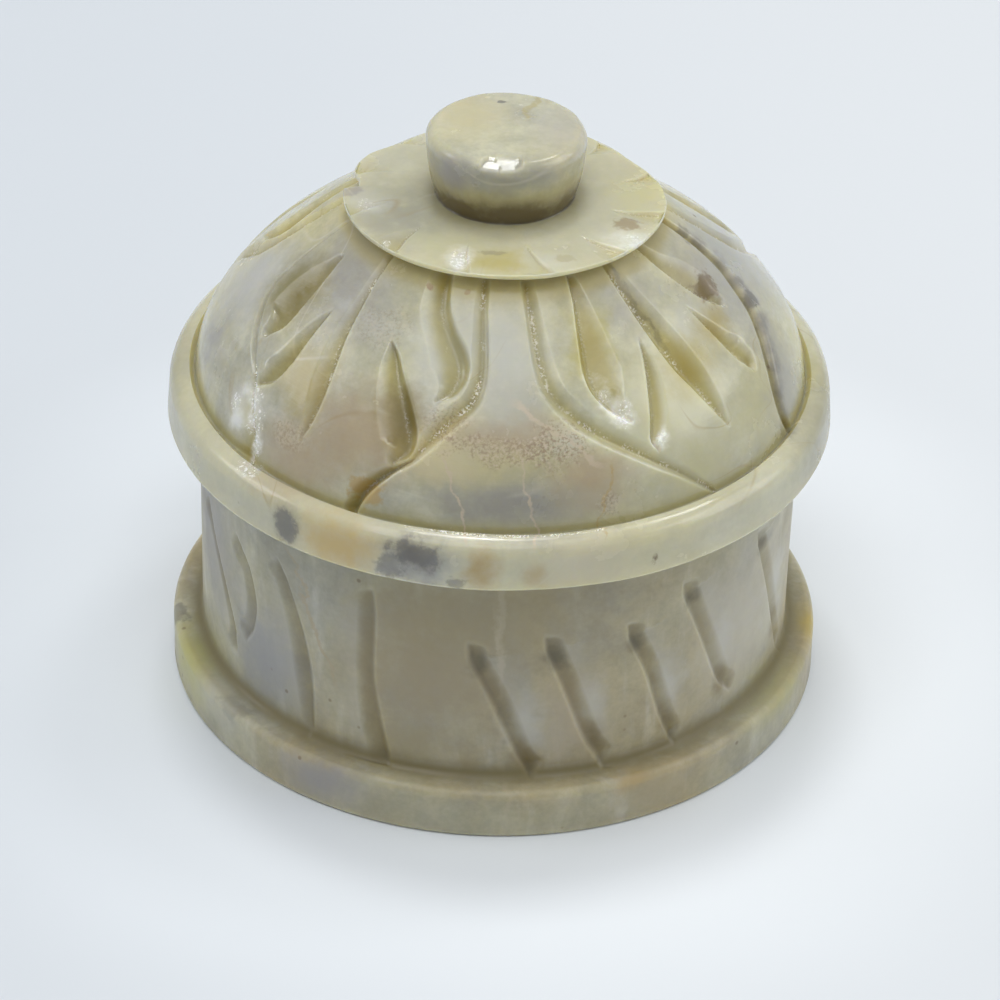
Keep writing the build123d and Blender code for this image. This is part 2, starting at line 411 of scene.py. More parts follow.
def carve(cuts, along, radii):
    """The depth of the cuts at each row and column, and how near each place is to the bottom of a cut."""
    least_width, crushed_reach = 0.05, 0.22
    depth = np.zeros((len(along), COLUMNS))
    valley = np.zeros_like(depth)
    for one in cuts:
        run = run_of(one["edge"])
        run[:, 2] = np.maximum(run[:, 2], least_width)
        widest = run[:, 2].max()
        rows = np.flatnonzero((along > run[:, 1].min() - widest) & (along < run[:, 1].max() + widest))
        middle = (run[:, 0].min() + run[:, 0].max()) / 2
        half_span = np.ptp(run[:, 0]) / 2 + np.degrees(widest / radii[rows].min()) + 1
        offset = within_half_turn(ANGLES - middle)
        columns = np.flatnonzero(abs(offset) < half_span)
        across = np.radians(offset[columns] + middle)[None, :]
        mm_across = radii[rows][:, None]
        up = along[rows][:, None]
        nearest = np.full((len(rows), len(columns)), 1e9)
        sideways = np.zeros_like(nearest)
        width = np.full_like(nearest, least_width)
        overrun = np.zeros_like(nearest)
        last = len(run) - 2
        for k, (start, end) in enumerate(zip(run[:-1], run[1:])):
            way_x = np.radians(end[0] - start[0]) * mm_across
            way_y = end[1] - start[1]
            length = np.sqrt(way_x**2 + way_y**2) + 1e-9
            x = (across - radians(start[0])) * mm_across
            y = up - start[1]
            share = (x * way_x + y * way_y) / length**2
            held = np.clip(share, 0, 1)
            distance = np.hypot(x - held * way_x, y - held * way_y)
            closer = distance < nearest
            nearest = np.where(closer, distance, nearest)
            sideways = np.where(closer, (way_x * y - way_y * x) / length, sideways)
            width = np.where(closer, start[2] + (end[2] - start[2]) * held, width)
            past = np.zeros_like(share)
            if k == 0:
                past = np.maximum(-share, 0) * length
            if k == last:
                past = np.maximum(share - 1, past / length) * length
            overrun = np.where(closer, np.maximum(past, 0), overrun)
        cap = 0.5 * width + 0.1
        fade = np.sqrt(np.clip(1 - (overrun / cap) ** 2, 0, 1))
        width = width * fade + 1e-6
        u = np.maximum(sideways * one["side"] / width + one["beyond"], 0)
        steep = one["steep"]
        wall = np.sin(np.clip(u / steep, 0, 1) * pi / 2)
        slope = np.clip((1 - u) / (1 - steep), 0, 1) ** one["hollow"]
        shape = np.where(u < steep, wall, slope) * (u > 0)
        local = one["depth"] * (width / widest) ** 0.6 * fade * shape
        block = np.ix_(rows, columns)
        deeper = local > depth[block]
        line = one["crushed"] * hill((u - steep) * width, crushed_reach) * fade * (shape > 0)
        valley[block] = np.where(deeper, line, valley[block])
        depth[block] = np.where(deeper, local, depth[block])
    return depth, valley


def uneven(along, size, amount, seed):
    """A slow unevenness of a surface finished by hand, from nothing to the amount."""
    waves = np.random.default_rng(seed)
    total = np.zeros((len(along), COLUMNS))
    for _ in range(10):
        turns = waves.integers(1, 14)
        rise = waves.uniform(-1, 1) / size
        total += np.sin(np.radians(ANGLES)[None, :] * turns + along[:, None] * rise + waves.uniform(0, 2 * pi))
    return amount * np.clip(0.5 + total / 10, 0, 1)


def outward_of(line):
    """The direction straight out of a turned line, at each of its points."""
    way = np.gradient(line, axis=0)
    way /= np.linalg.norm(way, axis=1)[:, None]
    return np.column_stack((-way[:, 1], way[:, 0]))


def facet(line, place, turn, tilt, reach):
    """How far a flat facet through a place cuts into the surface of a turned line."""
    outward = outward_of(line)
    around = np.radians(ANGLES)[None, :]
    across, up = line[:, 0][:, None], line[:, 1][:, None]
    away = np.stack((across * np.sin(around), -across * np.cos(around), up + 0 * around), -1) - np.array(place)
    facing = np.array(spot(turn, cos(radians(tilt)), sin(radians(tilt))))
    level = outward[:, 0][:, None] * np.cos(around - radians(turn)) * cos(radians(tilt))
    square = np.maximum(level + outward[:, 1][:, None] * sin(radians(tilt)), 0.4)
    near = np.clip(4 * (1 - np.linalg.norm(away, axis=-1) / reach), 0, 1)
    return np.maximum(away @ facing, 0) / square * near


def turned_piece(name, line, push, pull, marks):
    """A mesh turned about the axis from a line that starts and ends on the axis.

    It is pushed in along its normals, and pulled in towards the axis.
    """
    angles = np.radians(ANGLES)
    outward = outward_of(line)
    across = line[:, 0][:, None] - push * outward[:, 0][:, None] - pull
    up = line[:, 1][:, None] - push * outward[:, 1][:, None]
    ring = np.stack((across * np.sin(angles), -across * np.cos(angles), up), axis=-1)[1:-1]
    rings = len(ring)
    points = np.vstack((ring.reshape(-1, 3), (0, 0, line[0, 1]), (0, 0, line[-1, 1]))) * MM
    first, last = rings * COLUMNS, rings * COLUMNS + 1

    here = np.arange(COLUMNS)
    beside = (here + 1) % COLUMNS
    row = np.arange(rings - 1)[:, None] * COLUMNS
    quads = np.stack((row + here, row + COLUMNS + here, row + COLUMNS + beside, row + beside), -1).reshape(-1, 4)
    top = np.column_stack((np.full(COLUMNS, first), here, beside))
    base = (rings - 1) * COLUMNS
    bottom = np.column_stack((np.full(COLUMNS, last), base + beside, base + here))
    corners = np.concatenate((quads.ravel(), top.ravel(), bottom.ravel()))
    sides = np.concatenate((np.full(len(quads), 4), np.full(2 * COLUMNS, 3)))

    mesh = bpy.data.meshes.new(name)
    mesh.vertices.add(len(points))
    mesh.vertices.foreach_set("co", points.astype(np.float32).ravel())
    mesh.loops.add(len(corners))
    mesh.loops.foreach_set("vertex_index", corners.astype(np.int32))
    mesh.polygons.add(len(sides))
    starts = np.concatenate(([0], np.cumsum(sides)[:-1]))
    mesh.polygons.foreach_set("loop_start", starts.astype(np.int32))
    mesh.polygons.foreach_set("loop_total", sides.astype(np.int32))
    mesh.polygons.foreach_set("use_smooth", np.ones(len(sides), bool))
    mesh.update(calc_edges=True)
    mesh.validate()
    for mark, values in marks.items():
        layer = mesh.attributes.new(mark, "FLOAT", "POINT")
        layer.data.foreach_set("value", np.append(values[1:-1].ravel(), (0, 0)).astype(np.float32))
    return add_object(name, mesh)


def collar_wear():
    """How far the collar's edge is worn and notched back: it is whole in front, and ragged behind."""
    wear = (
        (-180, 0.9), (-145, 1.55), (-135, 1.45), (-129, 1.4), (-126, 1.2), (-118, 0.5), (-110, 0.35), (-104, 0.5),
        (-97, 1.45), (-92, 1.5), (-90, 0.1), (-84, 0.0), (86, 0.0), (101, 0.4), (117, 1.4), (123, 1.6), (133, 1.5),
        (141, 1.55), (180, 0.9),
    )
    turn, amount = np.array(wear).T
    return np.interp(within_half_turn(ANGLES), turn, amount)


def make_lid():
    """The lid in one turned and carved mesh: knob, collar, dome, rim, spigot and hollow."""
    knob_edge = (knob_radius - knob_taper, knob_top_level - knob_band)
    knob_top = ((0, knob_top_level, 0), (knob_radius, knob_top_level, knob_rounding), (*knob_edge, 0))
    knob_side = smooth_line((knob_edge, (neck_radius, neck_level)), (-0.1, -1), (-0.45, -1), steps=10)
    knob_line = filled(np.vstack((rounded_line(knob_top, steps=9), knob_side[1:])), spacing=0.35)
    collar_line = filled(rounded_line((
        (neck_radius, neck_level, 0), (collar_radius, collar_top_level, collar_rounding),
        (collar_radius, collar_top_level - collar_edge, collar_rounding), (crown_radius, collar_level, 0),
    )), spacing=0.22)
    rim_line = filled(rounded_line((
        (dome_radius, dome_foot_level, 0), (dome_radius + gutter_lip, rim_top_level, gutter_rounding),
        (rim_top_radius, rim_top_level, rim_rounding), (rim_radius, seat_level, rim_under_rounding),
        (spigot_radius, seat_level, 0),
    ), steps=9), spacing=0.25)
    inside_line = filled(rounded_line((
        (spigot_radius, seat_level, 0), (spigot_radius, spigot_level, spigot_rounding),
        (hollow_radius, spigot_level, hollow_edge), (hollow_radius, hollow_level, hollow_corner),
        (0, hollow_level, 0),
    ), steps=10), spacing=1.5)
    parts = (knob_line, collar_line[1:], dome_line[1:], rim_line[1:], inside_line[1:])
    line = np.vstack(parts)
    bounds = np.cumsum([0] + [len(part) for part in parts])
    collar, dome, rim = (slice(bounds[k], bounds[k + 1]) for k in (1, 2, 3))

    off_the_axis = np.clip((line[:, 0] - 4.5) / 3.5, 0, 1)
    push = uneven(line[:, 1], size=3.0, amount=0.1, seed=3) * off_the_axis[:, None]
    push[bounds[4]:] = 0
    collar_top = slice(bounds[1], bounds[1] + np.count_nonzero(line[collar, 1] > collar_top_level - 0.02))
    knob = slice(0, bounds[1])
    push[knob] = np.maximum.reduce((push[knob], *(facet(line[knob], *flat) for flat in knob_facets)))
    cuts = (*left_palmette, *right_palmette, *cut_again(right_palmette, 90, 11), *cut_again(left_palmette, -90, 12))
    dome_depth, dome_valley = carve(cuts, dome_climb[1:], line[dome, 0])
    push[dome] = np.maximum(push[dome], dome_depth)
    cut_mark, valley_mark = np.zeros_like(push), np.zeros_like(push)
    cut_mark[dome], valley_mark[dome] = dome_depth, dome_valley

    turns = petal_turn + np.arange(petal_count) * 360 / petal_count
    petals = [one for k, turn in enumerate(turns) for one in cut_again((petal,), turn, 40 + k)]
    petal_depth, petal_valley = carve(petals, line[collar_top, 0], line[collar_top, 0])
    push[collar_top] = np.maximum(push[collar_top], petal_depth)
    cut_mark[collar_top], valley_mark[collar_top] = petal_depth, petal_valley
    # Painted highlight: along the rim's inner edge in front the valley mark is set, which puts painted glints
    # there, with dark crushed specks and a fine bump.
    lip_glints = np.hypot(line[:, 0] - dome_radius - gutter_lip, line[:, 1] - rim_top_level) < 0.35
    valley_mark[lip_glints] = np.interp(within_half_turn(ANGLES), (-17, -12, 17, 21), (0, 1.5, 1.5, 0))

    pull = np.zeros_like(push)
    worn_from = 12.0
    start = np.where(line[collar, 1] > collar_top_level - 0.2, worn_from, crown_radius)
    share = np.clip((line[collar, 0] - start) / (collar_radius - start), 0, 1)
    pull[collar] = share[:, None] * collar_wear()[None, :]
    # Painted shade: the gutter at the dome's foot is marked so that its colour darkens to olive, as shade falls in
    # it.
    gutter_shade = hill(line[:, 1] - dome_foot_level - 0.2, 1.1) * (line[:, 0] < dome_radius + gutter_lip)
    cove_shade = np.where(np.arange(len(line)) < bounds[4], gutter_shade, 0)
    # Painted shade and glow: a warm ochre band on the dome just under the collar's edge, where the collar shades
    # the dome and light shows through the stone.
    ledge_climb = 23.8
    under_collar_shade_glow = np.zeros(len(line))
    under_collar_shade_glow[dome] = hill(np.maximum(ledge_climb - dome_climb[1:], 0), 0.9)
    # Painted shade round the knob's neck: full on the knob's lower side and fading upwards, with a softer ring on
    # the collar round it.
    neck_shade = np.clip(1.35 - (line[:, 1] - neck_level) / 3.5, 0, 1)
    neck_shade[bounds[1]:] = 0.45 * hill(line[bounds[1]:, 0] - neck_radius, 1.5)
    neck_shade[bounds[2]:] = 0
    trim = np.zeros(len(line))
    trim[collar] = trim[rim] = 1

    marks = {"cut": cut_mark, "valley": valley_mark}
    for mark_name, values in (("cove_shade", cove_shade), ("collar_shade_glow", under_collar_shade_glow), ("neck_shade", neck_shade), ("trim", trim)):
        marks[mark_name] = np.repeat(values[:, None], COLUMNS, axis=1)
    lid = turned_piece("carved_lid", line, push, pull, marks)
    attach(lid, "lid")
    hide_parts("lid")
    return lid


def make_box_body():
    """The box body in one turned and carved mesh: bore, mouth, fluted wall, foot ring and underside."""
    inside_line = filled(rounded_line((
        (0, floor_level, 0), (bore_radius, floor_level, floor_corner), (bore_radius, mouth_level, mouth_rounding),
        (wall_radius, mouth_level, 0),
    ), steps=8), spacing=1.2)
    wall_line = filled(rounded_line((
        (wall_radius, mouth_level, 0), (wall_radius, foot_height, foot_cove),
        (foot_radius, foot_height, foot_rounding), (foot_radius, 0, base_rounding), (0, 0, 0),
    ), steps=8), spacing=0.22)
    underside_radius = foot_radius - 1.5
    keep = (wall_line[:, 0] > underside_radius) | (wall_line[:, 1] > 0)
    underside = filled(np.array(((underside_radius, 0.0), (0.0, 0.0))), spacing=2.0)
    parts = (inside_line, wall_line[1:][keep[1:]], underside[1:])
    line = np.vstack(parts)
    wall = slice(len(inside_line), len(inside_line) + len(parts[1]))

    push = np.zeros((len(line), COLUMNS))
    push[wall] = uneven(line[wall, 1], size=4.0, amount=0.12, seed=7) * (line[wall, 1] > 0.6)[:, None]
    wall_rows = np.flatnonzero((line[:, 0] > bore_radius + 3) & (line[:, 1] > foot_height + 0.1))
    channels, scallops = zip(*right_flutes, *left_flutes)
    hidden_channels, hidden_scallops = zip(*right_flutes)
    heights, radii = line[wall_rows, 1] - foot_height, line[wall_rows, 0]
    depths = []
    for cuts, hidden_cuts in ((channels, hidden_channels), (scallops, hidden_scallops)):
        cuts = (*cuts, *cut_again(hidden_cuts, 90, 21), *cut_again(hidden_cuts, 180, 22))
        depths.append(carve(cuts, heights, radii)[0])
    push[wall_rows] = np.maximum.reduce((push[wall_rows], *depths))
    cut_mark, scallop_mark = np.zeros_like(push), np.zeros_like(push)
    cut_mark[wall_rows], scallop_mark[wall_rows] = depths
    # Painted shade: the cove between the wall and the foot ring is marked so that its colour darkens to deep
    # olive-brown, as shade falls there.
    cove_shade = hill(line[:, 1] - foot_height - 0.3, 0.8) * hill(line[:, 0] - wall_radius - 0.2, 0.9)
    cove_shade_mark = np.repeat(cove_shade[:, None], COLUMNS, axis=1)

    marks = {"cut": cut_mark, "scallop": scallop_mark, "cove_shade": cove_shade_mark}
    body = turned_piece("carved_box_body", line, push, np.zeros_like(push), marks)
    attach(body, "body")
    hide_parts("box_body")
    return body


# Shader nodes

def feed(tree, socket, value):
    """Links a socket to another one, or sets its own value."""
    if isinstance(value, bpy.types.NodeSocket):
        tree.links.new(value, socket)
    else:
        socket.default_value = value


def put(tree, kind, inputs=None, **settings):
    """Adds a node, sets its own values, and links or sets its inputs."""
    node = tree.nodes.new(kind)
    for name, value in settings.items():
        setattr(node, name, value)
    for name, value in (inputs or {}).items():
        feed(tree, node.inputs[name], value)
    return node


def new_group(name, **inputs):
    """An empty shader group, and its input sockets, which are named and of the given kinds."""
    tree = bpy.data.node_groups.new(name, "ShaderNodeTree")
    for label, kind in inputs.items():
        tree.interface.new_socket(name=label.capitalize(), in_out="INPUT", socket_type="NodeSocket" + kind)
    return tree, *tree.nodes.new("NodeGroupInput").outputs[:len(inputs)]


def give(tree, **outputs):
    """Links a group's outputs, which are a colour or numbers, and returns the group."""
    for label in outputs:
        kind = "NodeSocketColor" if label == "colour" else "NodeSocketFloat"
        tree.interface.new_socket(name=label.capitalize(), in_out="OUTPUT", socket_type=kind)
    end = tree.nodes.new("NodeGroupOutput")
    for label, value in outputs.items():
        tree.links.new(value, end.inputs[label.capitalize()])
    return tree


def use_group(tree, group, **inputs):
    """Adds a group's node, with its inputs named in small letters."""
    values = {name.capitalize(): value for name, value in inputs.items()}
    return put(tree, "ShaderNodeGroup", values, node_tree=group)


def maths(tree, operation, *values):
    """The result of an operation on numbers."""
    return put(tree, "ShaderNodeMath", dict(enumerate(values)), operation=operation).outputs[0]


def times(tree, value, factor):
    return maths(tree, "MULTIPLY", value, factor)


def vectors(tree, operation, *values):
    """The result of an operation on vectors: a number for a length or a dot product, or else a vector."""
    node = put(tree, "ShaderNodeVectorMath", dict(enumerate(values)), operation=operation)
    return node.outputs["Value" if operation in ("LENGTH", "DOT_PRODUCT") else "Vector"]


def scaled(tree, value, scale):
    """A vector or a colour times a number."""
    return put(tree, "ShaderNodeVectorMath", {0: value, "Scale": scale}, operation="SCALE").outputs["Vector"]


def ramp(tree, value, low, high, out_low=0.0, out_high=1.0):
    """The value spread smoothly from one span to another."""
    spans = dict(enumerate((value, low, high, out_low, out_high)))
    return put(tree, "ShaderNodeMapRange", spans, interpolation_type="SMOOTHSTEP").outputs[0]


def fading(tree, distance, reach):
    """One at no distance, and evenly down to nothing at the reach."""
    return maths(tree, "SUBTRACT", 1.0, maths(tree, "MINIMUM", maths(tree, "DIVIDE", distance, reach), 1.0))


def blend(tree, share, under, over, kind="MIX"):
    """One colour over another."""
    under, over = ((*tone, 1.0) if isinstance(tone, tuple) else tone for tone in (under, over))
    return put(tree, "ShaderNodeMix", {0: share, 6: under, 7: over}, data_type="RGBA", blend_type=kind).outputs[2]


def laid(tree, mask, strength, under, over):
    """One colour over another, where the mask shows and as far as the strength."""
    return blend(tree, times(tree, mask, strength), under, over)


def noise(tree, place, scale, detail=4.0, rough=0.55, twist=0.0):
    """A cloudy value at each place."""
    return put(tree, "ShaderNodeTexNoise", {
        "Vector": place, "Scale": scale, "Detail": detail, "Roughness": rough, "Distortion": twist,
    }).outputs["Fac"]


def make_clouds():
    """Cloudy ground of the stone: three tones that drift into each other, mottled, with faint white veils."""
    tree, place, pale, warm, smoky, grain = new_group(
        "stone_clouds", place="Vector", pale="Color", warm="Color", smoky="Color", grain="Vector"
    )
    warm_share = ramp(tree, noise(tree, place, 40, 4, 0.5, 0.8), 0.38, 0.64)
    moved = vectors(tree, "ADD", place, (0.31, 0.17, 0.05))
    smoky_share = ramp(tree, noise(tree, moved, 55, 4, 0.52, 1.0), 0.46, 0.70)
    tone = blend(tree, warm_share, pale, warm)
    tone = laid(tree, smoky_share, 0.8, tone, smoky)
    stretched = put(tree, "ShaderNodeMapping", {"Vector": place, "Rotation": (0.3, 0.2, 0.2), "Scale": grain})
    veil = ramp(tree, noise(tree, stretched.outputs[0], 120, 6, 0.6, 0.6), 0.48, 0.76, 0.0, 0.3)
    tone = blend(tree, veil, tone, (0.73, 0.74, 0.68))
    mottle = ramp(tree, noise(tree, moved, 300, 4, 0.55, 0.5), 0.32, 0.68, 0.9, 1.07)
    fine = ramp(tree, noise(tree, place, 1500, 4, 0.65), 0.3, 0.7, 0.94, 1.05)
    return give(tree, colour=scaled(tree, tone, times(tree, mottle, fine)))


def make_stain():
    """A stain with a frayed edge round a middle, as far as its reach, and worn thin here and there."""
    tree, place, middle, reach, fray, wear = new_group(
        "stone_stain", place="Vector", middle="Vector", reach="Vector", fray="Float", wear="Float"
    )
    warp = put(tree, "ShaderNodeTexNoise", {"Vector": place, "Scale": 300, "Detail": 5.0, "Roughness": 0.55})
    frayed = scaled(tree, vectors(tree, "SUBTRACT", warp.outputs["Color"], (0.5, 0.5, 0.5)), fray)
    away = vectors(tree, "SUBTRACT", vectors(tree, "ADD", place, frayed), middle)
    distance = vectors(tree, "LENGTH", vectors(tree, "DIVIDE", away, reach))
    worn = ramp(tree, noise(tree, place, 800, 5, 0.6), 0.3, 0.7, -1.0, 1.0)
    distance = maths(tree, "ADD", distance, times(tree, worn, wear))
    return give(tree, mask=ramp(tree, distance, 1.1, 0.6), veil=ramp(tree, distance, 1.3, 0.1))


def make_seam():
    """One thin seam: a wavering sheet of other stone, which shows as a line where it meets the surface."""
    tree, place, middle, across, width, reach = new_group(
        "stone_seam", place="Vector", middle="Vector", across="Vector", width="Float", reach="Float"
    )
    away = vectors(tree, "SUBTRACT", place, middle)
    waver = times(tree, maths(tree, "SUBTRACT", noise(tree, place, 260, 6, 0.6), 0.5), 0.003)
    beside = maths(tree, "ABSOLUTE", maths(tree, "ADD", vectors(tree, "DOT_PRODUCT", away, across), waver))
    line = ramp(tree, fading(tree, beside, width), 0.0, 0.7)
    shown = ramp(tree, fading(tree, vectors(tree, "LENGTH", away), reach), 0.0, 0.35)
    broken = ramp(tree, noise(tree, place, 1100, 4, 0.6), 0.3, 0.55, 0.35, 1.0)
    return give(tree, mask=times(tree, times(tree, line, shown), broken))


def make_veins():
    """Thin wandering veins, with how strongly they show at each place."""
    tree, place, scale, width = new_group("stone_veins", place="Vector", scale="Float", width="Float")
    field = noise(tree, place, scale, 1.0, 0.5, 1.6)
    line = fading(tree, maths(tree, "ABSOLUTE", maths(tree, "SUBTRACT", field, 0.5)), width)
    return give(tree, mask=times(tree, line, ramp(tree, noise(tree, place, 85, 3, 0.5), 0.52, 0.66)))


def make_crumbs():
    """Grainy crumbs of crushed stone, some dark and some pale."""
    tree, place = new_group("stone_crumbs", place="Vector")
    grain = noise(tree, place, 3600, 3, 0.6)
    return give(tree, dark=ramp(tree, grain, 0.50, 0.38), pale=ramp(tree, grain, 0.52, 0.62))


def make_specks():
    """Small scattered specks and pits."""
    tree, place, scale, share = new_group("stone_specks", place="Vector", scale="Float", share="Float")
    cells = put(tree, "ShaderNodeTexVoronoi", {"Vector": place, "Scale": scale})
    picked = put(tree, "ShaderNodeSeparateColor", {0: cells.outputs["Color"]}).outputs[0]
    chosen = maths(tree, "LESS_THAN", picked, share)
    return give(tree, mask=times(tree, ramp(tree, cells.outputs["Distance"], 0.22, 0.08), chosen))


def make_polish():
    """Hand polish: an uneven gloss, faint rings left by the lathe, fine grain, and crushed stone in the cuts."""
    tree, place, valley, dull = new_group("hand_polish", place="Vector", valley="Float", dull="Float")
    gloss = ramp(tree, noise(tree, place, 160, 5, 0.6), 0.35, 0.7, 0.11, 0.3)
    crushed = put(tree, "ShaderNodeTexVoronoi", {"Vector": place, "Scale": 5200.0}).outputs["Distance"]
    level = put(tree, "ShaderNodeSeparateXYZ", {0: place}).outputs[2]
    rings = put(tree, "ShaderNodeTexNoise", {"W": level, "Scale": 4200.0, "Detail": 2.0}, noise_dimensions="1D")
    height = noise(tree, place, 240, 4, 0.5)
    for relief, strength in (
        (rings.outputs["Fac"], 0.08), (noise(tree, place, 2600, 3, 0.6), 0.05), (times(tree, crushed, valley), 0.6),
    ):
        height = maths(tree, "ADD", height, times(tree, relief, strength))
    return give(tree, roughness=maths(tree, "ADD", gloss, dull), height=height)


clouds, stain, seam, veins = make_clouds(), make_stain(), make_seam(), make_veins()
crumbs, specks, polish = make_crumbs(), make_specks(), make_polish()


def new_material(name, finish):
    """A new material, its nodes, its shader with the finish set, and the place on the piece."""
    material = bpy.data.materials.new(name)
    material.use_nodes = True
    tree = material.node_tree
    shader = tree.nodes["Principled BSDF"]
    for socket, value in finish.items():
        shader.inputs[socket].default_value = value
    return material, tree, shader, tree.nodes.new("ShaderNodeTexCoord").outputs["Object"]


soft_stone = {
    "IOR": 1.56, "Subsurface Weight": 0.85, "Subsurface Radius": (1.0, 0.8, 0.36), "Subsurface Scale": 0.0024,
}


def mark(tree, name):
    return put(tree, "ShaderNodeAttribute", attribute_name=name, attribute_type="GEOMETRY").outputs["Fac"]


def stain_at(tree, place, middle, reach, fray, wear):
    return use_group(
        tree, stain, place=place, middle=middle * MM, reach=Vector(reach) * MM, fray=fray * MM, wear=wear,
    )


def shaded(tree, place, tone, shades):
    """The tone with soft shades in it: middle, reach, colour and strength. Most are other stone; some are partly
    painted sheen, highlight or shade.
    """
    for middle, reach, colour, strength in shades:
        mask = stain_at(tree, place, middle, reach, 4, 0.08).outputs["Veil"]
        tone = laid(tree, mask, strength, tone, colour)
    return tone


def stained(tree, place, tone, stains):
    """The tone with crisp frayed stains over it: middle, reach, colour, strength and fray."""
    for middle, reach, colour, strength, fray in stains:
        mask = stain_at(tree, place, middle, reach, fray, 0.3).outputs["Mask"]
        tone = laid(tree, mask, strength, tone, colour)
    return tone


def seamed(tree, place, tone, seams):
    """The tone with thin seams over it: middle, the way across, width, reach, colour and strength."""
    for middle, across, width, reach, colour, strength in seams:
        mask = use_group(
            tree, seam, place=place, middle=middle * MM, across=Vector(across).normalized(),
            width=width * MM, reach=reach * MM,
        ).outputs[0]
        tone = laid(tree, mask, strength, tone, colour)
    return tone


def crumbled(tree, place, tone, beds, dark, pale):
    """The tone with beds of dark and pale crumbs over it: middle, reach, strength and fray."""
    grains = use_group(tree, crumbs, place=place)
    for middle, reach, strength, fray in beds:
        bed = times(tree, stain_at(tree, place, middle, reach, fray, 0.2).outputs["Mask"], strength)
        tone = laid(tree, grains.outputs["Dark"], bed, tone, dark)
        tone = laid(tree, grains.outputs["Pale"], bed, tone, pale)
    return tone


def finish_stone_and_paint_light(tree, shader, place, tone, cut_shade_tone, veined, dull, whites_and_glints=(), crystals_and_glitter=()):
    """Veins, painted shade in the cuts (a darker tone multiplied in), white places (partly painted highlights),
    specks, painted glints and the polish, which both stones share.
    """
    # Painted shade in the cuts: the deeper a place lies in a cut, the more its tone is multiplied by the darker
    # olive tone.
    depth = ramp(tree, mark(tree, "cut"), 0.06, 0.6, 0.0, 0.9)
    valley = mark(tree, "valley")
    if veined:
        turned = vectors(tree, "ADD", place, (0.4, 0.1, 0.7))
        for where, scale, width, colour in (
            (place, 38.0, 0.012, (0.64, 0.60, 0.48)), (turned, 52.0, 0.009, (0.38, 0.29, 0.15)),
        ):
            vein = use_group(tree, veins, place=where, scale=scale, width=width).outputs[0]
            tone = laid(tree, vein, veined, tone, colour)
    tone = blend(tree, depth, tone, cut_shade_tone, "MULTIPLY")
    # White places and crystal beds lie over the painted shade of the cuts; some of them are painted highlight and
    # glitter.
    tone = shaded(tree, place, tone, whites_and_glints)
    tone = crumbled(tree, place, tone, crystals_and_glitter, crystal_dark, crystal_pale)
    brown = use_group(tree, specks, place=place, scale=700.0, share=0.03).outputs[0]
    tone = laid(tree, brown, 0.6, tone, (0.16, 0.11, 0.06))
    # Painted glints: white specks in the colour, in patches along the valleys of the cuts and the rim's inner edge,
    # where light sparkles on crushed stone. Darker specks of crushed ochre go with them.
    crystal = put(tree, "ShaderNodeTexVoronoi", {"Vector": place, "Scale": 6500.0}).outputs["Color"]
    picked = put(tree, "ShaderNodeSeparateColor", {0: crystal})
    patchy = times(tree, valley, ramp(tree, noise(tree, place, 420, 3, 0.5), 0.40, 0.56))
    painted_glints = times(tree, maths(tree, "GREATER_THAN", picked.outputs[1], 0.7), patchy)
    crushed = times(tree, maths(tree, "GREATER_THAN", picked.outputs[0], 0.62), patchy)
    tone = laid(tree, crushed, 0.4, tone, (0.30, 0.24, 0.10))
    tone = blend(tree, painted_glints, tone, (0.95, 0.92, 0.8))
    tree.links.new(tone, shader.inputs["Base Color"])
    finish = use_group(tree, polish, place=place, valley=valley, dull=dull)
    tree.links.new(finish.outputs["Roughness"], shader.inputs["Roughness"])
    bump = put(tree, "ShaderNodeBump", {"Strength": 0.35, "Distance": 0.00022, "Height": finish.outputs["Height"]})
    tree.links.new(bump.outputs[0], shader.inputs["Normal"])


smoke = (0.155, 0.15, 0.145)
violet_grey = (0.33, 0.315, 0.31)
ochre = (0.46, 0.34, 0.15)
pink_beige = (0.45, 0.355, 0.23)
cream = (0.60, 0.54, 0.35)
ice_and_sheen = (0.465, 0.465, 0.415)
brown = (0.18, 0.125, 0.065)
crumb_brown = (0.35, 0.265, 0.185)
crumb_pale = (0.60, 0.51, 0.38)
crystal_dark = (0.66, 0.64, 0.56)
crystal_pale = (0.95, 0.94, 0.90)
# White of crushed stone, and of painted glints on it.
crush_and_glint_white = (0.88, 0.88, 0.85)


# Crushed white places, and beds of crystals in them: the chip at the left palmette's foot, the leaf right of
# the front panel, and chips at the collar's edge. On the chip and the leaf, the white and the crystals are partly
# painted highlight and glitter.
crushed_places_and_glints = (
    *placed(
        on_dome,
        (-56.5, 6.2, (0.9, 1.2, 1.5), crush_and_glint_white, 0.8),
        (-54.3, 4.8, (0.9, 1.2, 1.5), crush_and_glint_white, 0.9),
        (-57.5, 3.2, (0.8, 1.1, 1.3), crush_and_glint_white, 0.6),
        (-50.6, 1.4, (0.9, 1.1, 1.6), crush_and_glint_white, 0.85),
        (22.6, 14.4, (0.8, 1.0, 1.1), crush_and_glint_white, 0.7),
        (24.0, 12.9, (1.0, 1.3, 1.3), crush_and_glint_white, 0.9),
        (25.7, 11.4, (1.1, 1.4, 1.4), crush_and_glint_white, 0.95),
        (27.3, 10.1, (1.0, 1.3, 1.2), crush_and_glint_white, 0.9),
        (33.2, 7.4, (1.0, 1.2, 1.2), crush_and_glint_white, 0.8),
    ),
    *placed(
        on_collar,
        (-17, 13.6, (1.5, 2.0, 1.2), crush_and_glint_white, 0.7),
        (55, 14.8, (2.2, 1.6, 1.0), crush_and_glint_white, 0.55),
    ),
)
